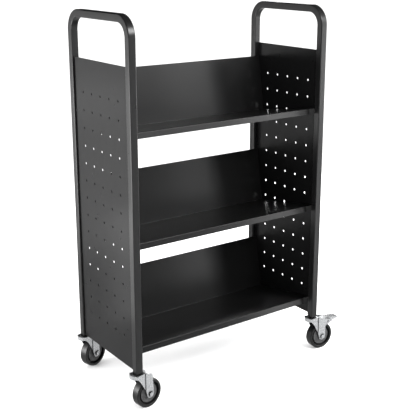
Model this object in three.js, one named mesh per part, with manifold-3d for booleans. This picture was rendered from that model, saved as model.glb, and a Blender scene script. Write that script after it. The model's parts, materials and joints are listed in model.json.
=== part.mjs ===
// A single-sided book cart: two square-tube end frames with perforated side panels, three
// V-shaped shelves tilted back between them, and four swivel casters, two of them with a brake.
// Millimetres, +Z up, +X along the shelves, the open front faces -Y.
import * as THREE from "three";
import { mergeVertices } from "three/addons/utils/BufferGeometryUtils.js";
import Module from "manifold-3d";

const wasm = await Module();
wasm.setup();

// Driving dimensions.
const CART_LENGTH = 780;
const CART_DEPTH = 382;
const CART_HEIGHT = 1263;
const GAP = 0.3; // left between pieces that touch
const CUT = 2; // how far a cutting body runs past what it cuts
const OVERLAP = 1; // how far two parts of one piece run into each other

const TUBE = 25;
const TUBE_WALL = 1.5;
const TUBE_CORNER = 3;
const POST_BOTTOM = 134;
const HANDLE_BEND = 55; // centreline radius of the bends under the handle

const SHEET = 1.2;
const PANEL_INSET = 6; // from the tube's outer face to the panel's outer face
const PANEL_FLANGE = 16;
const PANEL_TOP = 1111;
const PANEL_TO_POST = 2;
const WELD_TAB_HEIGHT = 8;
const WELD_TAB_PLACES = [1107, 935.5, 813, 690.5, 568, 445.5, 323, 200.5]; // their middles
const HOLE_RADIUS = 4;
const HOLE_SIDES = 8;
const HOLE_ROWS = 14;
const HOLE_COLUMNS = 5;
const HOLE_PITCH_Y = 55;
const HOLE_PITCH_Z = 58.7;
const TOP_HOLE_ROW = 1002;

const SHELF_NAMES = ["upper", "middle", "lower"];
const SHELF_PITCH = 354.7;
const SHELF_VALLEY = { y: 130.2, z: 864.4 }; // where floor and back meet, on the upper shelf
const SHELF_TILT = THREE.MathUtils.degToRad(8.9);
const SHELF_FLOOR = 283;
const SHELF_BACK = 199;
const SHELF_LIP = 20;
const LIP_LEAN = THREE.MathUtils.degToRad(14.9);
const SHELF_END_GAP = 0.5; // between a shelf's end and the panel's inner face
const LIP_SETBACK = 28; // the lip stops short of each shelf end

const WHEEL_RADIUS = 50;
const WHEEL_WIDTH = 30;
const WHEEL_TRAIL = 35;
const TREAD_FACETS = 32;
const CORE_FACETS = 20;
const CORE_RADIUS = 37.5;
const TYRE_INNER = 38;
const HUB_RADIUS = 10;
const CORE_WEB = 8; // thickness of the web between hub and rim
const CORE_RIM_INSET = 1.5;
const CORE_RIM = 3;
const CORE_SLOPE = 3; // how far the web's ends slope out to the hub and the rim
const TYRE_ROUND = 4;

const FORK_SHEET = 2.5;
const FORK_HALF_WIDTH = 19.8;
const FORK_HEAD_RADIUS = 28;
const FORK_TIP_RADIUS = 14;
const FORK_TOP = 128;
const FORK_PLATE_TOP = 125.5;
const FORK_PLATE = 3;
const FORK_PLATE_REACH = 22;
const INSERT_BOTTOM = POST_BOTTOM - 2.2;
const INSERT_INSET = 0.5; // the insert's flange stops short of the tube's outer faces
const INSERT_CROWN = 6; // plastic above the stem's end
const STEM_RADIUS = 6;
const STEM_TOP = 166;
const RIVET_RADIUS = 10;
const RIVET_HEIGHT = 4;
const STEM_NUT_RADIUS = 10.5;
const AXLE_RADIUS = 4;
const AXLE_HEAD = 7;
const AXLE_HEAD_HEIGHT = 4.5;
const AXLE_NUT_HEIGHT = 6;
const AXLE_THREAD_SHOWN = 1.5;
const RUNNING = 0.4; // radial clearance around shafts, wider than the flats of their facets

const BRAKE_PIVOT = { u: 62, z: 103 };
const BRAKE_PIN = 3;
const BRAKE_PIN_SHOWN = 1.5; // past each of the fork's legs
const BRAKE_HALF_WIDTH = 13;
const BRAKE_SHOE = { arm: 8, radius: 2.6, angle: THREE.MathUtils.degToRad(300) };

const CASTERS = [
  { name: "front_left", side: -1, face: -1, heading: 8, brake: false },
  { name: "front_right", side: 1, face: -1, heading: -5, brake: true },
  { name: "rear_left", side: -1, face: 1, heading: 17, brake: false },
  { name: "rear_right", side: 1, face: 1, heading: 3, brake: true },
];

// Derived positions.
const POST_X = (CART_LENGTH - TUBE) / 2;
const POST_Y = (CART_DEPTH - TUBE) / 2;
const PANEL_OUTER_X = CART_LENGTH / 2 - PANEL_INSET;
const PANEL_HALF_DEPTH = POST_Y - TUBE / 2 - PANEL_TO_POST;
const SHELF_HALF_LENGTH = PANEL_OUTER_X - SHEET - SHELF_END_GAP;
const WHEEL_CENTRE = { u: WHEEL_TRAIL, z: WHEEL_RADIUS };

const paint = new THREE.MeshStandardMaterial({ color: 0x1b1b1c, roughness: 0.35, metalness: 0.1 });
const zinc = new THREE.MeshStandardMaterial({ color: 0xb9bbbd, roughness: 0.35, metalness: 0.9 });
const rubber = new THREE.MeshStandardMaterial({ color: 0x2b2b2c, roughness: 0.7 });
const hubPlastic = new THREE.MeshStandardMaterial({ color: 0x57585a, roughness: 0.5 });
const plugPlastic = new THREE.MeshStandardMaterial({ color: 0x151515, roughness: 0.6 });

// A closed geometry as a solid that can be joined and cut.
function solid(geometry) {
  const bare = geometry.clone();
  bare.deleteAttribute("normal");
  bare.deleteAttribute("uv");
  const merged = mergeVertices(bare, 1e-4);
  return new wasm.Manifold(
    new wasm.Mesh({
      numProp: 3,
      vertProperties: merged.attributes.position.array,
      triVerts: new Uint32Array(merged.index.array),
    }),
  );
}

function geometryOf(body) {
  const mesh = body.getMesh();
  const geometry = new THREE.BufferGeometry();
  geometry.setAttribute("position", new THREE.BufferAttribute(mesh.vertProperties, 3));
  geometry.setIndex(new THREE.BufferAttribute(mesh.triVerts, 1));
  geometry.computeVertexNormals();
  return geometry;
}

function box(low, high) {
  const size = high.map((v, i) => v - low[i]);
  const middle = high.map((v, i) => (v + low[i]) / 2);
  return solid(new THREE.BoxGeometry(...size).translate(...middle));
}

// A round or many-sided bar between two places on one of the axes.
function bar(axis, radius, from, to, at, sides = 12) {
  const geometry = new THREE.CylinderGeometry(radius, radius, to - from, sides);
  geometry.translate(0, (from + to) / 2, 0);
  if (axis === "x") geometry.rotateZ(-Math.PI / 2);
  if (axis === "z") geometry.rotateX(Math.PI / 2);
  return solid(geometry.translate(...at));
}

// An outline in the plane across X, with its points as (y, z), thickened from one x to another.
function slabAlongX(outline, from, to) {
  const geometry = new THREE.ExtrudeGeometry(outline, { depth: to - from, bevelEnabled: false });
  geometry.rotateX(Math.PI / 2).rotateZ(Math.PI / 2);
  return solid(geometry.translate(from, 0, 0));
}

// An outline with its points as (u, z), thickened across v from -half to half.
function slabAcross(outline, half) {
  const geometry = new THREE.ExtrudeGeometry(outline, { depth: 2 * half, bevelEnabled: false });
  return solid(geometry.rotateX(Math.PI / 2).translate(0, half, 0));
}

function arc(centre, radius, from, to, steps) {
  return Array.from({ length: steps + 1 }, (_, i) => {
    const angle = from + ((to - from) * i) / steps;
    return new THREE.Vector2(
      centre[0] + radius * Math.cos(angle),
      centre[1] + radius * Math.sin(angle),
    );
  });
}

function roundedSquare(width, corner, steps) {
  const flat = width / 2 - corner;
  return [0, 1, 2, 3].flatMap((quarter) => {
    const angle = (quarter * Math.PI) / 2;
    const sx = quarter === 0 || quarter === 3 ? flat : -flat;
    const sy = quarter < 2 ? flat : -flat;
    return arc([sx, sy], corner, angle, angle + Math.PI / 2, steps);
  });
}

// The inverted U that both end frames follow, as places with their outward direction.
function framePath(bottom) {
  const bendY = POST_Y - HANDLE_BEND;
  const bendZ = CART_HEIGHT - TUBE / 2 - HANDLE_BEND;
  const steps = 7;
  const bend = Array.from({ length: steps + 1 }, (_, i) => (i * Math.PI) / 2 / steps);
  const place = (y, z, angle) => ({ y, z, ny: Math.cos(angle), nz: Math.sin(angle) });
  const around = (side, angle) =>
    place(
      side * (bendY + HANDLE_BEND * Math.cos(angle)),
      bendZ + HANDLE_BEND * Math.sin(angle),
      side > 0 ? angle : Math.PI - angle,
    );
  return [
    place(POST_Y, bottom, 0),
    ...bend.map((a) => around(1, a)),
    ...[...bend].reverse().map((a) => around(-1, a)),
    place(-POST_Y, bottom, Math.PI),
  ];
}

// A section carried along the path: its first coordinate stays on X, its second on the outward side.
function sweep(section, path, x) {
  const positions = [];
  const indices = [];
  const count = section.length;
  for (const p of path) {
    for (const s of section) positions.push(x + s.x, p.y + s.y * p.ny, p.z + s.y * p.nz);
  }
  for (let ring = 0; ring < path.length - 1; ring += 1) {
    for (let i = 0; i < count; i += 1) {
      const a = ring * count + i;
      const b = ring * count + ((i + 1) % count);
      indices.push(a, b, a + count, b, b + count, a + count);
    }
  }
  const caps = THREE.ShapeUtils.triangulateShape(section, []);
  const last = (path.length - 1) * count;
  for (const [a, b, c] of caps) {
    indices.push(c, b, a);
    indices.push(last + a, last + b, last + c);
  }
  const geometry = new THREE.BufferGeometry();
  geometry.setAttribute("position", new THREE.Float32BufferAttribute(positions, 3));
  geometry.setIndex(indices);
  return solid(geometry);
}

function endFrame(side) {
  const outer = roundedSquare(TUBE, TUBE_CORNER, 3);
  const inner = roundedSquare(TUBE - 2 * TUBE_WALL, TUBE_CORNER - TUBE_WALL, 1);
  const overshoot = 5;
  const tube = sweep(outer, framePath(POST_BOTTOM), side * POST_X);
  const hollow = sweep(inner, framePath(POST_BOTTOM - overshoot), side * POST_X);
  return tube.subtract(hollow);
}

function shelfLine(drop) {
  const cos = Math.cos(SHELF_TILT);
  const sin = Math.sin(SHELF_TILT);
  const valley = new THREE.Vector2(SHELF_VALLEY.y, SHELF_VALLEY.z - drop);
  const back = new THREE.Vector2(valley.x + SHELF_BACK * sin, valley.y + SHELF_BACK * cos);
  const front = new THREE.Vector2(valley.x - SHELF_FLOOR * cos, valley.y + SHELF_FLOOR * sin);
  const lip = new THREE.Vector2(
    front.x - SHELF_LIP * Math.sin(LIP_LEAN),
    front.y - SHELF_LIP * Math.cos(LIP_LEAN),
  );
  return { back, valley, front, lip };
}

// The sheet that follows a line of two or more points, on its lower or rear side.
function sheetOutline(points) {
  const normals = points.slice(1).map((p, i) => {
    const along = p.clone().sub(points[i]).normalize();
    return new THREE.Vector2(-along.y, along.x);
  });
  const offset = points.map((p, i) => {
    const before = normals[Math.max(i - 1, 0)];
    const after = normals[Math.min(i, normals.length - 1)];
    const mitre = before.clone().add(after);
    return p.clone().add(mitre.multiplyScalar((2 * SHEET) / mitre.lengthSq()));
  });
  return new THREE.Shape([...points, ...offset.reverse()]);
}

// A bent sheet whose lip is cut away at both ends, where it would meet the posts.
function shelf(drop) {
  const { back, valley, front, lip } = shelfLine(drop);
  const half = SHELF_HALF_LENGTH;
  const margin = 5;
  let body = slabAlongX(sheetOutline([back, valley, front, lip]), -half, half);
  for (const side of [-1, 1]) {
    const ends = [side * (half - LIP_SETBACK), side * (half + margin)].sort((a, b) => a - b);
    const low = [ends[0], lip.x - margin, lip.y - margin];
    const high = [ends[1], front.x + SHEET / 2, front.y + margin];
    body = body.subtract(box(low, high));
  }
  return body;
}

function panelHoles(from, to) {
  let holes = null;
  for (let row = 0; row < HOLE_ROWS; row += 1) {
    for (let column = 0; column < HOLE_COLUMNS; column += 1) {
      const y = (column - (HOLE_COLUMNS - 1) / 2) * HOLE_PITCH_Y;
      const z = TOP_HOLE_ROW - row * HOLE_PITCH_Z;
      const hole = bar("x", HOLE_RADIUS, from, to, [0, y, z], HOLE_SIDES);
      holes = holes ? holes.add(hole) : hole;
    }
  }
  return holes;
}

// A perforated sheet with its front and rear edges folded inwards, and small tabs to the posts.
function sidePanel(side) {
  const low = POST_BOTTOM + 1;
  const half = PANEL_HALF_DEPTH;
  const x = [PANEL_OUTER_X, PANEL_OUTER_X - SHEET, PANEL_OUTER_X - PANEL_FLANGE].map((d) => side * d);
  const halfFold = [[x[0], half], [x[2], half], [x[2], half - SHEET], [x[1], half - SHEET]];
  const otherHalf = [...halfFold].reverse().map(([a, b]) => [a, -b]);
  const fold = new THREE.Shape([...halfFold, ...otherHalf].map(([a, b]) => new THREE.Vector2(a, b)));
  const depth = PANEL_TOP - low;
  const channel = new THREE.ExtrudeGeometry(fold, { depth, bevelEnabled: false });
  let body = solid(channel.translate(0, 0, low));
  const faces = [x[0], x[1]].sort((a, b) => a - b);
  for (const face of [-1, 1]) {
    const reach = [face * (half - SHEET / 2), face * (half + PANEL_TO_POST - GAP)];
    reach.sort((a, b) => a - b);
    for (const z of WELD_TAB_PLACES) {
      const tab = box(
        [faces[0] + GAP, reach[0], z - WELD_TAB_HEIGHT / 2],
        [faces[1] - GAP, reach[1], z + WELD_TAB_HEIGHT / 2],
      );
      body = body.add(tab);
    }
  }
  return body.subtract(panelHoles(faces[0] - CUT, faces[1] + CUT));
}

function lathe(points, facets, turn = 0) {
  const profile = points.map(([r, h]) => new THREE.Vector2(r, h));
  return new THREE.LatheGeometry(profile, facets).rotateY(turn);
}

// The caster pieces below lie in a frame of their own: the swivel axis is Z, u (the local X)
// is the direction the wheel trails in, and v (the local Y) crosses it.
function tyre() {
  const outer = WHEEL_RADIUS / Math.cos(Math.PI / TREAD_FACETS);
  const half = WHEEL_WIDTH / 2;
  const round = TYRE_ROUND;
  const points = [
    [TYRE_INNER, -half + 1],
    [outer - round, -half],
    [outer - round * 0.3, -half + round * 0.3],
    [outer, -half + round],
    [outer, half - round],
    [outer - round * 0.3, half - round * 0.3],
    [outer - round, half],
    [TYRE_INNER, half - 1],
  ];
  points.push(points[0]);
  const ring = lathe(points, TREAD_FACETS, Math.PI / TREAD_FACETS);
  return solid(ring.translate(WHEEL_CENTRE.u, 0, WHEEL_CENTRE.z));
}

function wheelCore() {
  const half = WHEEL_WIDTH / 2;
  const bore = AXLE_RADIUS + RUNNING;
  const rim = half - CORE_RIM_INSET;
  const web = CORE_WEB / 2;
  const inside = CORE_RADIUS - CORE_RIM;
  const points = [
    [bore, -half],
    [HUB_RADIUS, -half],
    [HUB_RADIUS + CORE_SLOPE, -web],
    [inside - CORE_SLOPE, -web],
    [inside, -rim],
    [CORE_RADIUS, -rim],
    [CORE_RADIUS, rim],
    [inside, rim],
    [inside - CORE_SLOPE, web],
    [HUB_RADIUS + CORE_SLOPE, web],
    [HUB_RADIUS, half],
    [bore, half],
  ];
  points.push(points[0]);
  return solid(lathe(points, CORE_FACETS).translate(WHEEL_CENTRE.u, 0, WHEEL_CENTRE.z));
}

// The fork seen from above: a round head whose two walls run on as straight legs.
function forkPlan(reach, filled) {
  const outer = FORK_HALF_WIDTH;
  const inner = outer - FORK_SHEET;
  const headAngle = Math.asin(outer / FORK_HEAD_RADIUS);
  const innerRadius = FORK_HEAD_RADIUS - FORK_SHEET;
  const innerAngle = Math.asin(inner / innerRadius);
  const head = arc([0, 0], FORK_HEAD_RADIUS, headAngle, 2 * Math.PI - headAngle, 18);
  const hollow = arc([0, 0], innerRadius, 2 * Math.PI - innerAngle, innerAngle, 18);
  const points = [new THREE.Vector2(reach, outer), ...head, new THREE.Vector2(reach, -outer)];
  if (filled) return new THREE.Shape(points);
  return new THREE.Shape([
    ...points,
    new THREE.Vector2(reach, -inner),
    ...hollow,
    new THREE.Vector2(reach, inner),
  ]);
}

// The fork seen from the side: the front edge sweeps down to a round tip about the axle.
function forkSide(brake) {
  const tip = arc([WHEEL_CENTRE.u, WHEEL_CENTRE.z], FORK_TIP_RADIUS, Math.PI * 1.12, Math.PI * 2, 8);
  const rear = WHEEL_CENTRE.u + FORK_TIP_RADIUS;
  const ear = [
    [rear, 88],
    [rear + 9, 92],
    [BRAKE_PIVOT.u + 6, BRAKE_PIVOT.z - 8],
    [BRAKE_PIVOT.u + 10, BRAKE_PIVOT.z],
    [BRAKE_PIVOT.u + 7, BRAKE_PIVOT.z + 7],
    [BRAKE_PIVOT.u - 2, BRAKE_PIVOT.z + 11.5],
  ];
  const corner = [
    [rear - 1, 66],
    [rear - 4, 115],
    [rear - 8, 120.5],
  ];
  const front = [
    [FORK_PLATE_REACH + 3, 123.5],
    [FORK_PLATE_REACH, 127.5],
    [14, FORK_TOP],
    [-FORK_HEAD_RADIUS - 1, FORK_TOP],
    [-FORK_HEAD_RADIUS - 1, 115],
    [-20, 117],
    [-13, 113],
    [-7.5, 107],
    [0, 95],
    [5, 86.5],
    [17, 67],
  ];
  const top = brake ? ear : corner;
  const asVector = ([u, z]) => new THREE.Vector2(u, z);
  return new THREE.Shape([...front.map(asVector), ...tip, ...top.map(asVector)]);
}

function fork(brake) {
  const reach = brake ? BRAKE_PIVOT.u + 12 : WHEEL_CENTRE.u + FORK_TIP_RADIUS + 2;
  const low = WHEEL_CENTRE.z - FORK_TIP_RADIUS - 1;
  const walls = new THREE.ExtrudeGeometry(forkPlan(reach, false), {
    depth: FORK_TOP - low,
    bevelEnabled: false,
  }).translate(0, 0, low);
  const plate = new THREE.ExtrudeGeometry(forkPlan(FORK_PLATE_REACH, true), {
    depth: FORK_PLATE,
    bevelEnabled: false,
  }).translate(0, 0, FORK_PLATE_TOP - FORK_PLATE);
  const { u, z } = WHEEL_CENTRE;
  const across = FORK_HALF_WIDTH + CUT;
  let body = solid(walls).intersect(slabAcross(forkSide(brake), across)).add(solid(plate));
  const underPlate = FORK_PLATE_TOP - FORK_PLATE - CUT;
  body = body.subtract(bar("z", STEM_RADIUS + RUNNING, underPlate, FORK_TOP, [0, 0, 0]));
  body = body.subtract(bar("y", AXLE_RADIUS + RUNNING, -across, across, [u, 0, z]));
  if (!brake) return body;
  const pivot = [BRAKE_PIVOT.u, 0, BRAKE_PIVOT.z];
  return body.subtract(bar("y", BRAKE_PIN + RUNNING, -across, across, pivot));
}

function stem() {
  const seat = FORK_PLATE_TOP - FORK_PLATE - GAP;
  const shaft = bar("z", STEM_RADIUS, seat - OVERLAP, STEM_TOP, [0, 0, 0]);
  return shaft.add(bar("z", RIVET_RADIUS, seat - RIVET_HEIGHT, seat, [0, 0, 0], 16));
}

function stemNut() {
  const nut = bar("z", STEM_NUT_RADIUS, FORK_PLATE_TOP + GAP, INSERT_BOTTOM - GAP, [0, 0, 0], 6);
  const bore = bar("z", STEM_RADIUS + RUNNING, FORK_PLATE_TOP - CUT, INSERT_BOTTOM + CUT, [0, 0, 0]);
  return nut.subtract(bore);
}

function tubeInsert() {
  const width = TUBE - 2 * TUBE_WALL - 2 * GAP;
  const lid = TUBE / 2 - INSERT_INSET;
  const seat = POST_BOTTOM - GAP;
  const section = new THREE.Shape(roundedSquare(width, TUBE_CORNER, 1));
  const depth = STEM_TOP + INSERT_CROWN - seat;
  const plug = new THREE.ExtrudeGeometry(section, { depth, bevelEnabled: false });
  const body = solid(plug.translate(0, 0, seat));
  const flange = box([-lid, -lid, INSERT_BOTTOM], [lid, lid, seat]);
  const bore = bar("z", STEM_RADIUS + RUNNING, INSERT_BOTTOM - CUT, STEM_TOP + GAP, [0, 0, 0]);
  return flange.add(body).subtract(bore);
}

function axleBolt() {
  const { u, z } = WHEEL_CENTRE;
  const seat = FORK_HALF_WIDTH + GAP;
  const end = seat + AXLE_NUT_HEIGHT + AXLE_THREAD_SHOWN;
  const shaft = bar("y", AXLE_RADIUS, -seat - OVERLAP, end, [u, 0, z]);
  return shaft.add(bar("y", AXLE_HEAD, -seat - AXLE_HEAD_HEIGHT, -seat, [u, 0, z], 6));
}

function axleNut() {
  const { u, z } = WHEEL_CENTRE;
  const seat = FORK_HALF_WIDTH + GAP;
  const end = seat + AXLE_NUT_HEIGHT;
  const nut = bar("y", AXLE_HEAD, seat, end, [u, 0, z], 6);
  return nut.subtract(bar("y", AXLE_RADIUS + RUNNING, seat - CUT, end + CUT, [u, 0, z]));
}

function brakePin() {
  const reach = FORK_HALF_WIDTH + BRAKE_PIN_SHOWN;
  return bar("y", BRAKE_PIN, -reach, reach, [BRAKE_PIVOT.u, 0, BRAKE_PIVOT.z]);
}

// The pedal: a tongue over the wheel, a cheek around the pivot and a rounded shoe above the tread.
function brakePedal() {
  const { u, z } = BRAKE_PIVOT;
  const shoe = [
    u + BRAKE_SHOE.arm * Math.cos(BRAKE_SHOE.angle),
    z + BRAKE_SHOE.arm * Math.sin(BRAKE_SHOE.angle),
  ];
  const asVector = ([du, dz]) => new THREE.Vector2(u + du, z + dz);
  const tongue = [
    [8, -5],
    [14, -7.5],
    [22, -7],
    [27, -1],
    [36, 1.5],
    [55, 2],
    [55, 5],
    [38, 9.8],
    [20, 11.8],
    [0, 13],
    [-22, 13.5],
    [-23, 10],
    [-8, 6.5],
    [-6.5, 0],
    [-4, -5.5],
  ];
  const outline = new THREE.Shape([
    ...arc(shoe, BRAKE_SHOE.radius, Math.PI, 2 * Math.PI, 8),
    ...tongue.map(asVector),
  ]);
  const body = slabAcross(outline, BRAKE_HALF_WIDTH);
  const across = BRAKE_HALF_WIDTH + CUT;
  return body.subtract(bar("y", BRAKE_PIN + RUNNING, -across, across, [u, 0, z]));
}

function mesh(name, body, material) {
  const made = new THREE.Mesh(geometryOf(body), material.clone());
  made.name = name;
  return made;
}

const cart = new THREE.Group();

for (const [name, side] of [["left", -1], ["right", 1]]) {
  cart.add(mesh(`${name}_end_frame`, endFrame(side), paint));
  cart.add(mesh(`${name}_side_panel`, sidePanel(side), paint));
}

SHELF_NAMES.forEach((name, level) => {
  const drop = level * SHELF_PITCH;
  cart.add(mesh(`${name}_shelf`, shelf(drop), paint));
});

for (const caster of CASTERS) {
  const post = new THREE.Group();
  post.position.set(caster.side * POST_X, caster.face * POST_Y, 0);
  post.add(mesh(`${caster.name}_tube_insert`, tubeInsert(), plugPlastic));
  post.add(mesh(`${caster.name}_caster_stem`, stem(), zinc));
  post.add(mesh(`${caster.name}_stem_nut`, stemNut(), zinc));
  const swivel = new THREE.Group();
  swivel.rotation.z = THREE.MathUtils.degToRad(caster.heading);
  swivel.add(mesh(`${caster.name}_fork`, fork(caster.brake), zinc));
  swivel.add(mesh(`${caster.name}_axle_bolt`, axleBolt(), zinc));
  swivel.add(mesh(`${caster.name}_axle_nut`, axleNut(), zinc));
  swivel.add(mesh(`${caster.name}_wheel_core`, wheelCore(), hubPlastic));
  swivel.add(mesh(`${caster.name}_tyre`, tyre(), rubber));
  if (caster.brake) {
    swivel.add(mesh(`${caster.name}_brake_pedal`, brakePedal(), zinc));
    swivel.add(mesh(`${caster.name}_brake_pin`, brakePin(), zinc));
  }
  post.add(swivel);
  cart.add(post);
}

// The origin is the middle of the whole cart's box, on the floor.
cart.updateMatrixWorld(true);
const middle = new THREE.Box3().setFromObject(cart, true).getCenter(new THREE.Vector3());
cart.position.set(-middle.x, -middle.y, 0);

export default cart;
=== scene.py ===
"""The looks of the book cart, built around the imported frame. Metres, +Z up, +X along the shelves."""
import json
import math

import bmesh
import bpy
from mathutils import Matrix, Vector


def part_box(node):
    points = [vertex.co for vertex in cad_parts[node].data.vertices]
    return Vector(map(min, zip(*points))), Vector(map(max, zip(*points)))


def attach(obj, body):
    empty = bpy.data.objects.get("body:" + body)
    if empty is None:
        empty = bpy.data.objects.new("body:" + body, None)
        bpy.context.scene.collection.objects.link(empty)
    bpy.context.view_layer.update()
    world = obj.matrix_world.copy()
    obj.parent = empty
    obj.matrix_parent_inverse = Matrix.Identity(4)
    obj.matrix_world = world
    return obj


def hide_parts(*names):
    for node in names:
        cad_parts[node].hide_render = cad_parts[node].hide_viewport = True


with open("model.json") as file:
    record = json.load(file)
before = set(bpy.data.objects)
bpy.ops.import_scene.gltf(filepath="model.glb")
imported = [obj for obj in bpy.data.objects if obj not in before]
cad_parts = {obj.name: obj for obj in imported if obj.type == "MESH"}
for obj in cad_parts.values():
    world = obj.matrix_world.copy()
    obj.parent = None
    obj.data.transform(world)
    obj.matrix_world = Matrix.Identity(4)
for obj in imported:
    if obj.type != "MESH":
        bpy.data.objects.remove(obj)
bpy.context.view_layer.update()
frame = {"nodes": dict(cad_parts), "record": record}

RECORD = frame["record"]
JOINTS = {joint["name"]: joint for joint in RECORD["behaviour"]["joints"]}
MM = 0.001

# Sizes of the sheet metal, as the CAD part has them.
TUBE = 25 * MM
TUBE_WALL = 1.5 * MM
TUBE_CORNER = 3.2 * MM
HANDLE_BEND = 55 * MM
SHEET = 1.2 * MM
PANEL_FLANGE = 16 * MM
PANEL_BEND = 2.2 * MM
HOLE_RADIUS = 4 * MM
HOLE_ROWS, HOLE_COLUMNS = 14, 5
HOLE_PITCH_Y, HOLE_PITCH_Z = 55 * MM, 58.7 * MM
TOP_HOLE_DROP = 109 * MM  # from the panel's top edge to the first row
WELD_TAB_HEIGHT = 8 * MM
WELD_TAB_PITCH = 122.5 * MM
WELD_TAB_REACH = 1.7 * MM  # how far the tabs stand past the panel's folds
SHELF_TILT = math.radians(8.9)
SHELF_FLOOR, SHELF_BACK, SHELF_LIP = 283 * MM, 199 * MM, 20 * MM
LIP_LEAN = math.radians(14.9)
LIP_SETBACK = 28 * MM
HEM = 9 * MM
HEM_SETBACK = 22 * MM
HEM_FOLD = 2.6 * MM  # across the folded hem
VALLEY_BEND, LIP_BEND = 2 * MM, 2.6 * MM
FILLET_STEPS = 6

# Sizes of the caster, in its own frame: u trails behind the swivel axis, v crosses it.
WHEEL_RADIUS, WHEEL_HALF = 50 * MM, 14.85 * MM
FORK_SHEET, FORK_HALF, FORK_HEAD = 2.5 * MM, 19.8 * MM, 28 * MM
FORK_TIP = 13.95 * MM
FORK_TOP = 128 * MM
FORK_CREASE = 17.4 * MM  # where the flat cheeks of the head end and the legs stand out
CHEEK_HALF = 17.8 * MM
FORK_PLATE_REACH = 22 * MM  # the plate under the head runs this far behind the stem
FORK_PLATE_LOW, FORK_PLATE_TOP = 122.5 * MM, 125.5 * MM
RACE_BORE, RACE_LOW = 6.4 * MM, 118 * MM
NOSE_TURN = 130  # degrees: the round nose spans this far either side of the rear
TYRE_BORE, TYRE_SHOULDER = 38.2 * MM, 4.2 * MM
PEDAL_HALF = 13 * MM
PEDAL_FAR, PEDAL_NEAR = 54.9 * MM, 24 * MM  # the tongue's ends, either side of its pin
PEDAL_SIDE = 2.2 * MM
PEDAL_BORE = 3.4 * MM

# The camera: its place is measured from the middle of the cart, on the floor.
CAMERA_PLACE = (-1.6606, -2.3368, 1.4382)
CAMERA_YAW, CAMERA_PITCH = 35.88, 15.37
CAMERA_LENS = 74.2
CAMERA_SHIFT = -0.0512

# The surroundings: how pale the floor is, to the eye and in the gloss, and the light all round.
FLOOR_TONE, MIRRORED_FLOOR_TONE = 0.96, 0.44
WORLD_STRENGTH = 1.4

# Softboxes: name, place, point aimed at, width and height, radiance.
SOFTBOXES = (
    ("front_strip", (0.59, -0.68, 1.4), (0.08, 0.15, 1.0), (0.12, 1.5), 6.0),
    ("low_strip", (0.59, -0.68, 0.35), (0.08, 0.15, 0.5), (0.12, 0.6), 4.7),
    ("front_high", (0.6, -2.2, 2.4), (0, 0, 0.8), (2.0, 0.9), 14.0),
    ("right_upper", (2.8, -1.4, 1.8), (0.2, 0, 0.9), (1.0, 1.4), 11.6),
    ("right_lower", (2.8, -1.4, 0.6), (0.2, 0, 0.6), (1.0, 0.9), 12.6),
    ("rear_right", (1.7, 2.1, 0.9), (0.3, 0, 0.8), (1.2, 1.4), 6.0),
    ("rear_left", (-1.25, 0.9, 0.45), (-0.4, 0, 0.5), (1.0, 0.8), 0.8),
    ("left", (-2.0, 0.5, 0.5), (-0.4, 0, 0.5), (1.2, 0.8), 11.8),
    ("far_left", (-1.9, 2.4, 0.75), (-0.43, 0, 0.95), (0.9, 0.6), 1.1),
    ("post_strip", (-0.75, 0.37, 0.26), (-0.44, -0.19, 0.26), (0.1, 0.45), 1.6),
)

SHELVES = ("upper", "middle", "lower")
SIDES = {"left": -1, "right": 1}
CASTERS = {"front_left": False, "front_right": True, "rear_left": False, "rear_right": True}

LEFT_FRAME, RIGHT_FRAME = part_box("left_end_frame"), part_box("right_end_frame")
CENTRE = (LEFT_FRAME[0] + RIGHT_FRAME[1]) / 2
CENTRE.z = 0


# ---------------------------------------------------------------- materials


def new_material(name):
    """A node material, with its nodes, links and main shader."""
    material = bpy.data.materials.new(name)
    material.use_nodes = True
    nodes = material.node_tree.nodes
    return material, nodes, material.node_tree.links, nodes["Principled BSDF"]


def noise(nodes, links, scale, detail=4.0, roughness=0.55):
    """A noise texture in the object's own metres."""
    where = nodes.new("ShaderNodeTexCoord")
    texture = nodes.new("ShaderNodeTexNoise")
    texture.inputs["Scale"].default_value = scale
    texture.inputs["Detail"].default_value = detail
    texture.inputs["Roughness"].default_value = roughness
    links.new(where.outputs["Object"], texture.inputs["Vector"])
    return texture.outputs["Fac"]


def ramp(nodes, links, factor, low, high, start=0.35, end=0.65):
    """A value or colour that runs from low to high with the factor."""
    mix = nodes.new("ShaderNodeValToRGB")
    mix.color_ramp.elements[0].position = start
    mix.color_ramp.elements[1].position = end
    mix.color_ramp.elements[0].color = low
    mix.color_ramp.elements[1].color = high
    links.new(factor, mix.inputs["Fac"])
    return mix.outputs["Color"]


def grey(value):
    return (value, value, value, 1.0)


def bump(nodes, links, height, shader, strength, distance):
    """Fine relief on the shader's normal."""
    node = nodes.new("ShaderNodeBump")
    node.inputs["Strength"].default_value = strength
    node.inputs["Distance"].default_value = distance
    links.new(height, node.inputs["Height"])
    links.new(node.outputs["Normal"], shader.inputs["Normal"])


def powder_coat(name, tone, gloss, ior):
    """Black semi-gloss powder coat: fine orange peel, faint cloudiness and a slightly uneven gloss."""
    material, nodes, links, shader = new_material(name)
    cloud = noise(nodes, links, 14.0, 3.0)
    dark = (tone * 0.92, tone * 0.92, tone * 0.95, 1.0)
    light = (tone * 1.08, tone * 1.08, tone * 1.11, 1.0)
    links.new(ramp(nodes, links, cloud, dark, light, 0.2, 0.8), shader.inputs["Base Color"])
    smear = noise(nodes, links, 40.0, 3.0)
    uneven = ramp(nodes, links, smear, grey(gloss * 0.97), grey(gloss * 1.03), 0.2, 0.8)
    links.new(uneven, shader.inputs["Roughness"])
    bump(nodes, links, noise(nodes, links, 1100.0, 1.0), shader, 0.05, 0.0002)
    shader.inputs["IOR"].default_value = ior
    return material


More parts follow.
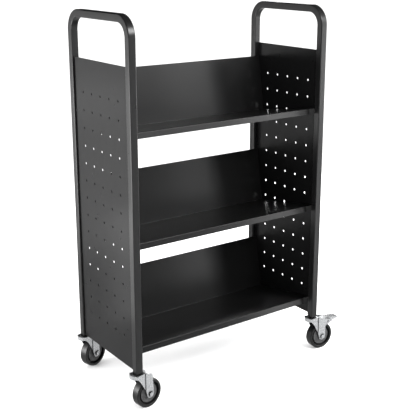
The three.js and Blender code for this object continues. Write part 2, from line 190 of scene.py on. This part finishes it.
def painted_crease_shade(nodes, links, colour, reach, low, high):
    """The colour with painted shade: darkened in creases and recesses, as far as ambient occlusion finds
    them.
    """
    recess = nodes.new("ShaderNodeAmbientOcclusion")
    recess.inputs["Distance"].default_value = reach
    recess.samples = 8
    painted_shade = ramp(nodes, links, recess.outputs["AO"], grey(0.03), grey(1.0), low, high)
    mix = nodes.new("ShaderNodeMix")
    mix.data_type = "RGBA"
    mix.blend_type = "MULTIPLY"
    mix.inputs["Factor"].default_value = 1.0
    links.new(colour, mix.inputs["A"])
    links.new(painted_shade, mix.inputs["B"])
    return mix.outputs["Result"]


def zinc_plate(name):
    """Bright zinc on pressed steel: cloudy crystals, a patchy sheen and painted shade that darkens the
    creases.
    """
    material, nodes, links, shader = new_material(name)
    shader.inputs["Metallic"].default_value = 0.85
    cloud = noise(nodes, links, 160.0, 5.0)
    colour = ramp(nodes, links, cloud, (0.50, 0.51, 0.525, 1), (0.74, 0.75, 0.76, 1), 0.3, 0.7)
    # Painted shade: the base colour is darkened where ambient occlusion finds creases and recesses.
    links.new(painted_crease_shade(nodes, links, colour, 10 * MM, 0.7, 0.99), shader.inputs["Base Color"])
    patch = noise(nodes, links, 420.0, 4.0)
    links.new(ramp(nodes, links, patch, grey(0.2), grey(0.34)), shader.inputs["Roughness"])
    bump(nodes, links, noise(nodes, links, 1500.0, 3.0), shader, 0.15, 0.0003)
    return material


def moulded(name, dark, light, gloss, grain):
    """Moulded plastic or rubber: a mottled tone, painted shade in recesses and a fine moulded grain."""
    material, nodes, links, shader = new_material(name)
    mottle = noise(nodes, links, 130.0, 6.0, 0.65)
    tones = [(tone, tone, tone * 1.03, 1.0) for tone in (dark, light)]
    colour = ramp(nodes, links, mottle, *tones)
    # Painted shade: the base colour is darkened in the groove and other recesses found by ambient
    # occlusion.
    links.new(painted_crease_shade(nodes, links, colour, 14 * MM, 0.35, 0.8), shader.inputs["Base Color"])
    rub = noise(nodes, links, 300.0, 4.0)
    links.new(ramp(nodes, links, rub, grey(gloss * 0.9), grey(gloss * 1.1)), shader.inputs["Roughness"])
    bump(nodes, links, noise(nodes, links, grain, 3.0), shader, 0.2, 0.0003)
    return material


MATERIALS = {
    "frame_paint": powder_coat("frame_paint", 0.0078, 0.28, 1.5),
    "panel_paint": powder_coat("panel_paint", 0.0060, 0.28, 1.3),
    "shelf_paint": powder_coat("shelf_paint", 0.0050, 0.33, 1.43),
    "insert_plastic": moulded("insert_plastic", 0.010, 0.018, 0.55, 1200.0),
    "zinc_plate": zinc_plate("zinc_plate"),
    "wheel_core_plastic": moulded("wheel_core_plastic", 0.022, 0.062, 0.5, 900.0),
    "tyre_rubber": moulded("tyre_rubber", 0.003, 0.007, 0.38, 1600.0),
}


# ------------------------------------------------------------- mesh helpers


def closed_mesh(name, verts, faces):
    """A mesh from points and faces, merged where they meet, with its faces pointing out."""
    mesh = bpy.data.meshes.new(name)
    mesh.from_pydata([tuple(v) for v in verts], [], faces)
    tidy = bmesh.new()
    tidy.from_mesh(mesh)
    bmesh.ops.remove_doubles(tidy, verts=tidy.verts, dist=1e-6)
    bmesh.ops.recalc_face_normals(tidy, faces=tidy.faces)
    tidy.to_mesh(mesh)
    tidy.free()
    return mesh


def piece(name, mesh, body, slot, replaces=(), bevel=0.0, sharp=35.0):
    """Puts a mesh in the scene as a piece of the cart, with soft edges and smooth shading."""
    obj = bpy.data.objects.new(name, mesh)
    bpy.context.scene.collection.objects.link(obj)
    mesh.materials.clear()
    mesh.materials.append(MATERIALS[slot])
    finish_edges(obj, bevel, sharp)
    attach(obj, body)
    if replaces:
        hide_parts(*replaces)
    return obj


def finish_edges(obj, bevel, sharp):
    """Smooth shading with crisp edges, and rounded edges where bevel is given."""
    obj.data.shade_smooth()
    obj.data.set_sharp_from_angle(angle=math.radians(sharp))
    if bevel:
        rounder = obj.modifiers.new("bevel", "BEVEL")
        rounder.width = bevel
        rounder.segments = 2
        rounder.limit_method = "ANGLE"
        rounder.angle_limit = math.radians(35)
        rounder.use_clamp_overlap = True
    weighted = obj.modifiers.new("weighted", "WEIGHTED_NORMAL")
    weighted.keep_sharp = True


def arc(centre, radius, start, end, steps):
    """Points of an arc in a plane; angles in degrees."""
    angles = [math.radians(start + (end - start) * i / steps) for i in range(steps + 1)]
    return [(centre[0] + radius * math.cos(a), centre[1] + radius * math.sin(a)) for a in angles]


def prism(outline, low, high, to_point):
    """A closed outline carried from low to high; to_point(a, b, h) places its points."""
    count = len(outline)
    verts = [to_point(a, b, h) for h in (low, high) for a, b in outline]
    faces = [list(range(count)), list(range(count, 2 * count))[::-1]]
    faces += [[i, (i + 1) % count, (i + 1) % count + count, i + count] for i in range(count)]
    return closed_mesh("prism", verts, faces)


def rings(name, loops, closed=False):
    """A skin over loops of equally many points; with closed the last loop joins the first."""
    count = len(loops[0])
    verts = [p for loop in loops for p in loop]
    spans = len(loops) if closed else len(loops) - 1
    faces = []
    for r in range(spans):
        a, b = r * count, ((r + 1) % len(loops)) * count
        faces += [[a + i, a + (i + 1) % count, b + (i + 1) % count, b + i] for i in range(count)]
    if not closed:
        faces += [list(range(count)), list(range((len(loops) - 1) * count, len(loops) * count))]
    return closed_mesh(name, verts, faces)


def turned(name, profile, axis_point, facets=96):
    """A closed (radius, v) profile turned about the v axis through axis_point = (u, z)."""
    loops = []
    for i in range(facets):
        a = 2 * math.pi * i / facets
        loops.append([
            (axis_point[0] + r * math.cos(a), v, axis_point[1] + r * math.sin(a)) for r, v in profile
        ])
    return rings(name, loops, closed=True)


def combined(meshes, operations):
    """Joins, cuts or crosses meshes in turn, with exact booleans."""
    base = bpy.data.objects.new("base", meshes[0])
    tools = [bpy.data.objects.new("tool", mesh) for mesh in meshes[1:]]
    for obj in (base, *tools):
        bpy.context.scene.collection.objects.link(obj)
    for tool, operation in zip(tools, operations):
        cut = base.modifiers.new("cut", "BOOLEAN")
        cut.operation = operation
        cut.solver = "EXACT"
        cut.object = tool
    graph = bpy.context.evaluated_depsgraph_get()
    graph.update()
    result = bpy.data.meshes.new_from_object(base.evaluated_get(graph))
    for obj in (base, *tools):
        bpy.data.objects.remove(obj)
    return result


def bent_sheet(name, cells, place, thickness=SHEET):
    """A sheet from flat cells of (s, t) points; place(s, t, depth) gives a point of the bent sheet."""
    known = {}
    faces = []
    for cell in cells:
        faces.append([known.setdefault((round(s, 7), round(t, 7)), len(known)) for s, t in cell])
    flat, count = list(known), len(known)
    verts = [place(s, t, depth) for depth in (0.0, thickness) for s, t in flat]
    edges = {(a, b) for face in faces for a, b in zip(face, face[1:] + face[:1])}
    rim = [[b, a, a + count, b + count] for a, b in sorted(edges) if (b, a) not in edges]
    back = [[i + count for i in reversed(face)] for face in faces]
    return closed_mesh(name, verts, faces + back + rim)


def grid_cells(across, along, keep=lambda s, t: True):
    """Four-sided cells between lines across and along; keep(s, t) is asked at each middle."""
    cells = []
    for s0, s1 in zip(across, across[1:]):
        for t0, t1 in zip(along, along[1:]):
            if keep((s0 + s1) / 2, (t0 + t1) / 2):
                cells.append([(s0, t0), (s1, t0), (s1, t1), (s0, t1)])
    return cells


# ------------------------------------------------------------- frame pieces


def rounded_square(width, corner, steps):
    """The section of the tube, as points around the middle."""
    flat = width / 2 - corner
    corners = [(flat, flat, 0), (-flat, flat, 90), (-flat, -flat, 180), (flat, -flat, 270)]
    return [p for x, y, turn in corners for p in arc((x, y), corner, turn, turn + 90, steps)]


def end_frame(side_name):
    """One square tube bent into an inverted U, open at its feet."""
    low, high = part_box(side_name + "_end_frame")
    x, y_middle = (low.x + high.x) / 2, (low.y + high.y) / 2
    half = (high.y - low.y - TUBE) / 2
    bend_y, bend_z = half - HANDLE_BEND, high.z - TUBE / 2 - HANDLE_BEND
    steps = 20
    angles = [math.pi / 2 * i / steps for i in range(steps + 1)]
    path = [(half, low.z, 0.0)]
    path += [(bend_y + HANDLE_BEND * math.cos(a), bend_z + HANDLE_BEND * math.sin(a), a) for a in angles]
    path += [(-y, z, math.pi - a) for y, z, a in reversed(path)]

    def loop(section, station):
        y, z, a = station
        return [(x + s, y_middle + y + t * math.cos(a), z + t * math.sin(a)) for s, t in section]

    outer = rounded_square(TUBE, TUBE_CORNER, 5)
    inner = rounded_square(TUBE - 2 * TUBE_WALL, TUBE_CORNER - TUBE_WALL, 5)
    loops = [loop(outer, p) for p in path] + [loop(inner, p) for p in reversed(path)]
    mesh = rings(side_name + "_tube", loops, closed=True)
    piece(side_name + "_handle_frame", mesh, "cart", "frame_paint", [side_name + "_end_frame"])


def holed_cell(middle, half_width, half_height, radius, steps=4):
    """The four-sided cells between a round hole and the oblong cell around it."""
    y, z = middle
    edge = []
    corners = [(1, -1), (1, 1), (-1, 1), (-1, -1)]
    for (a0, b0), (a1, b1) in zip(corners, corners[1:] + corners[:1]):
        for i in range(steps):
            f = i / steps
            edge.append((y + half_width * (a0 + (a1 - a0) * f), z + half_height * (b0 + (b1 - b0) * f)))
    count = len(edge)
    rim = arc((y, z), radius, -45, 315, count)[:-1]
    return [[rim[i], edge[i], edge[(i + 1) % count], rim[(i + 1) % count]] for i in range(count)]


def side_panel(side_name):
    """A perforated sheet with its front and rear edges folded inwards."""
    side = SIDES[side_name]
    low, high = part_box(side_name + "_side_panel")
    outer_x = max(abs(low.x - CENTRE.x), abs(high.x - CENTRE.x))
    half = (high.y - low.y) / 2 - WELD_TAB_REACH
    flat = half - PANEL_BEND
    bend = PANEL_BEND * math.pi / 2
    flange = PANEL_FLANGE - PANEL_BEND
    top_row = high.z - TOP_HOLE_DROP
    half_y, half_z = HOLE_PITCH_Y / 2, HOLE_PITCH_Z / 2
    steps = 4

    def spread(start, end, count):
        return [start + (end - start) * i / count for i in range(count + 1)]

    grid_y, rows = HOLE_COLUMNS * half_y, HOLE_ROWS
    grid_top, grid_low = top_row + half_z, top_row - (rows - 0.5) * HOLE_PITCH_Z
    across = spread(-grid_y, grid_y, HOLE_COLUMNS * steps)
    along = spread(grid_low, grid_top, rows * steps)
    cells = []
    for row in range(rows):
        for column in range(HOLE_COLUMNS):
            middle = ((column - (HOLE_COLUMNS - 1) / 2) * HOLE_PITCH_Y, top_row - row * HOLE_PITCH_Z)
            cells += holed_cell(middle, half_y, half_z, HOLE_RADIUS, steps)
    fold = spread(flat, flat + bend, 5) + [flat + bend + flange]
    for s_lines in ([-s for s in reversed(fold)] + [-grid_y], [grid_y] + fold):
        cells += grid_cells(s_lines, [low.z] + along + [high.z])
    cells += grid_cells(across, [low.z, grid_low]) + grid_cells(across, [grid_top, high.z])

    def place(s, z, depth):
        turn = 1 if s > 0 else -1
        beyond = abs(s) - flat
        if beyond <= 0:
            x, y = outer_x - depth, abs(s)
        elif beyond < bend:
            a = beyond / PANEL_BEND
            x = outer_x - PANEL_BEND + (PANEL_BEND - depth) * math.cos(a)
            y = flat + (PANEL_BEND - depth) * math.sin(a)
        else:
            x, y = outer_x - PANEL_BEND - (beyond - bend), half - depth
        return (CENTRE.x + side * x, CENTRE.y + turn * y, z)

    mesh = bent_sheet(side_name + "_sheet", cells, place)
    piece(side_name + "_perforated_panel", mesh, "cart", "panel_paint", [side_name + "_side_panel"])
    weld_tabs(side_name, side, outer_x, half, low.z, high.z)


def weld_tabs(side_name, side, outer_x, half, low_z, high_z):
    """Small tabs that bridge the gap between the panel's folds and the posts."""
    first = high_z - WELD_TAB_HEIGHT / 2
    middle, start, end = half + 0.9 * MM, half - 0.6 * MM, half + 1.9 * MM
    depths = (outer_x - 1.8 * MM, outer_x - 0.4 * MM)
    number = 0
    z = first
    while z > low_z + WELD_TAB_HEIGHT:
        for turn in (-1, 1):
            outline = arc((middle, z), WELD_TAB_HEIGHT / 2, 0, 360, 16)[:-1]
            outline = [(min(max(y, start), end), h) for y, h in outline]
            mesh = prism(outline, *depths, lambda y, h, x: (CENTRE.x + side * x, CENTRE.y + turn * y, h))
            number += 1
            piece(f"{side_name}_weld_{number}", mesh, "cart", "frame_paint", bevel=0.3 * MM)
        z -= WELD_TAB_PITCH if z < first else WELD_TAB_PITCH * 1.4


def filleted(points, radii, steps=FILLET_STEPS):
    """Walks a bent line: (distance, point, normal) samples, the normal to the left of the way."""
    corners = [Vector(p) for p in points]
    samples = []
    distance = 0.0

    def add(point, direction):
        nonlocal distance
        if samples:
            distance += (point - samples[-1][1]).length
        samples.append((distance, point, Vector((-direction.y, direction.x))))

    add(corners[0], (corners[1] - corners[0]).normalized())
    for before, corner, after, radius in zip(corners, corners[1:], corners[2:], radii):
        into = (corner - before).normalized()
        out = (after - corner).normalized()
        turn = math.atan2(into.x * out.y - into.y * out.x, into.dot(out))
        reach = radius * math.tan(abs(turn) / 2)
        start = corner - into * reach
        centre = start + Vector((-into.y, into.x)) * radius * math.copysign(1, turn)
        for i in range(steps + 1):
            spin = Matrix.Rotation(turn * i / steps, 2)
            add(centre + spin @ (start - centre), spin @ into)
    last = (corners[-1] - corners[-2]).normalized()
    add(corners[-1], last)
    return samples


def shelf(name):
    """A sheet bent into a V, with a hem along the back's top and a lip along the front."""
    low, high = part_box(name + "_shelf")
    cos, sin = math.cos(SHELF_TILT), math.sin(SHELF_TILT)
    along_floor, along_back = Vector((-cos, sin)), Vector((sin, cos))
    rear = high.y - SHEET * cos
    back = Vector((rear, high.z - 0.05 * MM))
    valley = back - along_back * SHELF_BACK
    front = valley + along_floor * SHELF_FLOOR
    lip = front - Vector((math.sin(LIP_LEAN), math.cos(LIP_LEAN))) * SHELF_LIP
    across = Vector((cos, -sin))
    hem_top = back + across * HEM_FOLD
    hem_end = hem_top - along_back * HEM
    hem_bend = HEM_FOLD * 0.495  # a hair under half, so that the two bends don't meet
    radii = (hem_bend, hem_bend, VALLEY_BEND, LIP_BEND)
    samples = filleted([hem_end, hem_top, back, valley, front, lip], radii)
    second_bend = 1 + (FILLET_STEPS + 1)
    hem_s = samples[second_bend][0] + 0.5 * MM
    lip_s = samples[-1][0] - SHELF_LIP - 1.5 * MM
    half = (high.x - low.x) / 2
    middle_x = (high.x + low.x) / 2
    by_distance = {round(s, 7): (p, n) for s, p, n in samples}

    def keep(s, x):
        if s < hem_s:
            return abs(x) < half - HEM_SETBACK
        return s < lip_s or abs(x) < half - LIP_SETBACK

    def place(s, x, depth):
        point, normal = by_distance[round(s, 7)]
        at = point + normal * depth
        return (middle_x + x, at.x, at.y)

    inset, notch = half - HEM_SETBACK, half - LIP_SETBACK
    lines = [-half, -inset, -notch, notch, inset, half]
    mesh = bent_sheet(name + "_sheet", grid_cells([s for s, _, _ in samples], lines, keep), place)
    piece(name + "_v_shelf", mesh, "cart", "shelf_paint", [name + "_shelf"])


# ------------------------------------------------------------ caster pieces


def u_v_z(a, b, h):
    """Places an outline seen from the side, in the caster's frame."""
    return (a, h, b)


def u_v_up(a, b, h):
    """Places an outline seen from above, in the caster's frame."""
    return (a, b, h)


def fork_plan(reach, inset):
    """The fork from above: a round nose, two flat cheeks and, past a step, the two legs."""
    leg, cheek, step = FORK_HALF - inset, CHEEK_HALF - inset, FORK_CREASE + inset
    half = [(reach, leg), (step, leg), (step, cheek)] + arc((0, 0), FORK_HEAD - inset, NOSE_TURN, 180, 20)
    return half + [(a, -b) for a, b in reversed(half[:-1])]


def fork_side(axle, pivot):
    """The fork's outline from the side, with an ear for the pedal's pin when it has one."""
    tip = arc(axle, FORK_TIP, 205, 360, 24)
    rear = (axle[0] + FORK_TIP) / MM
    front = [
        (25, 123.6), (22, 127.5), (14, 128), (-29, 128), (-29, 115), (-24, 116.7), (-20, 117),
        (-16.5, 115.7), (-13, 113), (-7.5, 106.5), (-3.5, 101.5), (0, 95.6), (5, 86.5), (17, 66),
    ]
    if pivot is None:
        back = [(rear - 1, 66), (rear - 2.6, 92), (rear - 4, 113), (rear - 5.4, 117.6), (rear - 8.6, 120.4)]
    else:
        u, z = pivot[0] / MM, pivot[1] / MM
        ear = [(u + a, z + b) for a, b in arc((0, 0), 9.8, -58, 70, 14)]
        back = [(rear, 86), (rear + 1.6, 88.6), (rear + 8, 92)] + ear + [(u - 2, z + 11.4), (40, 120)]
    scaled = [[(a * MM, b * MM) for a, b in points] for points in (front, back)]
    return scaled[0] + tip + scaled[1]


def fork(axle, pivot):
    """The pressed fork: its outline folded round the wheel, with the head's plate and race bore."""
    reach = (pivot[0] if pivot else axle[0]) + FORK_TIP + MM
    low = axle[1] - FORK_TIP - MM
    outer = prism(fork_plan(reach, 0.0), low, FORK_TOP, u_v_up)
    inner = prism(fork_plan(reach + MM, FORK_SHEET), low - MM, FORK_TOP + MM, u_v_up)
    side = prism(fork_side(axle, pivot), -FORK_HEAD - MM, FORK_HEAD + MM, u_v_z)
    plate = prism(fork_plan(FORK_PLATE_REACH, MM), FORK_PLATE_LOW, FORK_PLATE_TOP, u_v_up)
    race = prism(arc((0, 0), RACE_BORE, 0, 360, 40)[:-1], RACE_LOW, FORK_TOP, u_v_up)
    return combined([outer, inner, side, plate, race], ["DIFFERENCE", "INTERSECT", "UNION", "DIFFERENCE"])


def race_seal():
    """The plastic ring around the stem's nut that keeps dust out of the ball race."""
    profile = [(11.2, 125.55), (11.2, 127.0), (13.4, 127.0), (14.8, 126.2), (14.8, 125.55)]
    loops = []
    for i in range(64):
        a = 2 * math.pi * i / 64
        loops.append([(r * MM * math.cos(a), r * MM * math.sin(a), h * MM) for r, h in profile])
    return rings("race_seal", loops, closed=True)


def tyre(axle):
    """The tread, with rounded shoulders and a chamfer towards the wheel core."""
    outer, half, inner, shoulder = WHEEL_RADIUS, WHEEL_HALF, TYRE_BORE, TYRE_SHOULDER
    side = [(inner, -6.8 * MM), (inner + 0.8 * MM, -half + 2.6 * MM), (inner + 3 * MM, -half)]
    near = [(r, v) for v, r in arc((-half + shoulder, outer - shoulder), shoulder, 180, 90, 8)]
    crown = [(outer, 0.0)]
    profile = side + near + crown
    profile += [(r, -v) for r, v in reversed(side + near)]
    return turned("tyre", profile, axle, 128)


def wheel_core(axle):
    """A dished disc with a hub and a faint ring, then a deep groove under the tyre's edge."""
    near = [
        (4.4, -15.0), (8.6, -15.0), (9.4, -14.2), (10.2, -12.4), (13.0, -11.4), (19.0, -11.2),
        (19.8, -11.9), (21.6, -11.9), (22.4, -11.2), (31.2, -11.2), (32.8, -10.2), (33.4, -3.4),
        (36.4, -3.2), (36.9, -6.6), (37.5, -6.8),
    ]
    profile = [(r * MM, v * MM) for r, v in near]
    profile += [(r, -v) for r, v in reversed(profile)]
    return turned("wheel_core", profile, axle)


def axle_washer(axle, side):
    """A thin washer between the fork's leg and the bolt's head or the nut."""
    low = FORK_HALF + 0.02 * MM
    profile = [(4.3 * MM, low), (8.6 * MM, low), (8.6 * MM, low + 0.26 * MM), (4.3 * MM, low + 0.26 * MM)]
    return turned("axle_washer", [(r, side * v) for r, v in profile], axle, 48)


def brake_pedal(pivot):
    """A pressed lever: a tongue over the wheel with turned-down sides and a small rubbing nose."""
    u, z = pivot

    def at(points):
        return [(u + a * MM, z + b * MM) for a, b in points]

    nose = arc((8 * math.cos(math.radians(300)), 8 * math.sin(math.radians(300))), 2.6, 190, 350, 10)
    outline = at(nose + [
        (8, -5), (11, -7), (14, -7.6), (20, -7.4), (23, -6.2), (25.4, -3.4), (28, -0.8), (36, 1.5),
        (48, 2.4), (54.9, 2.2), (54.9, 4.4), (53, 5.6), (46, 8.0), (38, 9.8), (20, 11.8), (0, 13),
        (-20, 13.5), (-22.4, 12.8), (-23, 10.4), (-8, 6.5), (-6.5, 0), (-4, -5.5),
    ])
    body = prism(outline, -PEDAL_HALF, PEDAL_HALF, u_v_z)
    sole = prism(tongue_plan(u), z - 20 * MM, z + 20 * MM, u_v_up)
    under = at([(8.4, 10.4), (20, 9.6), (38, 7.6), (47, 5.6), (50, 4.2), (50, -3), (24, -14), (8.4, -14)])
    hollow = prism(under, -PEDAL_HALF + PEDAL_SIDE, PEDAL_HALF - PEDAL_SIDE, u_v_z)
    bore = prism(arc((u, z), PEDAL_BORE, 0, 360, 32)[:-1], -30 * MM, 30 * MM, u_v_z)
    return combined([body, sole, hollow, bore], ["INTERSECT", "DIFFERENCE", "DIFFERENCE"])


def tongue_plan(u):
    """The pedal from above: straight sides that round off at the far end."""
    far, near = u + PEDAL_FAR, u - PEDAL_NEAR
    corner = 7 * MM
    half = PEDAL_HALF
    round_end = arc((far - corner, half - corner), corner, 90, 0, 8)
    round_end += [(a, -b) for a, b in reversed(round_end)]
    return [(near, half)] + round_end + [(near, -half)]


def local_point(matrix, world):
    """A joint's place in the caster's own frame, as (u, z)."""
    inverse = matrix.inverted() @ Vector(world)
    return (inverse.x, inverse.z)


def caster(name, braked):
    """All the fine pieces of one caster, turned to the heading it rests at."""
    swivel, roll = JOINTS[name + "_swivel_turn"], JOINTS[name + "_wheel_roll"]
    heading = math.atan2(-roll["axis"][0], roll["axis"][1])
    x, y, _ = swivel["pos_m"]
    matrix = Matrix.Translation((x, y, 0)) @ Matrix.Rotation(heading, 4, "Z")
    axle = local_point(matrix, roll["pos_m"])
    pivot = local_point(matrix, JOINTS[name + "_brake_press"]["pos_m"]) if braked else None
    on_swivel, on_wheel = name + "_swivel", name + "_wheel"

    def put(part, mesh, body, slot, replaces=(), bevel=0.0):
        mesh.transform(matrix)
        piece(f"{name}_{part}", mesh, body, slot, replaces, bevel)

    put("pressed_fork", fork(axle, pivot), on_swivel, "zinc_plate", [name + "_fork"], 0.5 * MM)
    put("race_seal", race_seal(), on_swivel, "insert_plastic")
    put("rubber_tyre", tyre(axle), on_wheel, "tyre_rubber", [name + "_tyre"])
    put("dished_core", wheel_core(axle), on_wheel, "wheel_core_plastic", [name + "_wheel_core"])
    for side, end in ((-1, "near"), (1, "far")):
        put(f"{end}_washer", axle_washer(axle, side), on_swivel, "zinc_plate")
    if braked:
        pedal = brake_pedal(pivot)
        put("foot_pedal", pedal, name + "_brake", "zinc_plate", [name + "_brake_pedal"], 0.4 * MM)


def finish_cad_nodes():
    """Materials and soft edges on the CAD pieces that stay: plugs, stems, nuts, bolts and pins."""
    slots = {entry["node"]: entry["material_slot"] for entry in RECORD["subparts"]}
    for node, obj in frame["nodes"].items():
        if obj.hide_render:
            continue
        obj.data.materials.clear()
        obj.data.materials.append(MATERIALS[slots[node]])
        finish_edges(obj, 0.35 * MM, 40.0)


# ------------------------------------------------------------- surroundings


def area_light(name, place, aim, size, radiance):
    """A rectangular softbox that lights the cart and shows in its gloss, but is not itself seen."""
    data = bpy.data.lights.new(name, "AREA")
    data.shape = "RECTANGLE"
    data.size, data.size_y = size
    data.energy = radiance * math.pi * size[0] * size[1]
    lamp = bpy.data.objects.new(name, data)
    bpy.context.scene.collection.objects.link(lamp)
    lamp.location = place
    lamp.rotation_euler = (Vector(aim) - Vector(place)).to_track_quat("-Z", "Y").to_euler()
    lamp.visible_camera = False


def floor_plane(name, tone):
    """A wide matt plane under the wheels."""
    material, nodes, links, shader = new_material(name)
    shade = ramp(nodes, links, noise(nodes, links, 0.8, 2.0), grey(tone * 0.98), grey(tone))
    links.new(shade, shader.inputs["Base Color"])
    shader.inputs["Roughness"].default_value = 0.9
    shader.inputs["Specular IOR Level"].default_value = 0.1
    bpy.ops.mesh.primitive_plane_add(size=80, location=(0, 0, -0.5 * MM))
    plane = bpy.context.object
    plane.name = name
    plane.data.materials.append(material)
    return plane


def surroundings():
    """A plain pale floor and soft studio lights; the paint's gloss mirrors a dimmer floor."""
    floor_plane("floor", FLOOR_TONE).visible_glossy = False
    mirrored = floor_plane("mirrored_floor", MIRRORED_FLOOR_TONE)
    mirrored.visible_camera = mirrored.visible_diffuse = mirrored.visible_shadow = False

    world = bpy.data.worlds.new("studio")
    bpy.context.scene.world = world
    world.use_nodes = True
    background = world.node_tree.nodes["Background"]
    background.inputs["Color"].default_value = (1.0, 1.0, 1.0, 1.0)
    background.inputs["Strength"].default_value = WORLD_STRENGTH
    world.cycles_visibility.glossy = False

    for softbox in SOFTBOXES:
        area_light(*softbox)


def camera():
    """The viewing place, as a distance from the middle of the two end frames."""
    data = bpy.data.cameras.new("camera")
    data.sensor_width = 36
    data.lens = CAMERA_LENS
    data.shift_y = CAMERA_SHIFT
    data.clip_end = 100
    eye = bpy.data.objects.new("camera", data)
    bpy.context.scene.collection.objects.link(eye)
    eye.location = CENTRE + Vector(CAMERA_PLACE)
    eye.rotation_euler = (math.pi / 2 - math.radians(CAMERA_PITCH), 0, -math.radians(CAMERA_YAW))
    bpy.context.scene.camera = eye


camera()
for side_name in SIDES:
    end_frame(side_name)
    side_panel(side_name)
for shelf_name in SHELVES:
    shelf(shelf_name)
for caster_name, has_brake in CASTERS.items():
    caster(caster_name, has_brake)
finish_cad_nodes()
surroundings()
bpy.context.scene.view_settings.view_transform = "Standard"
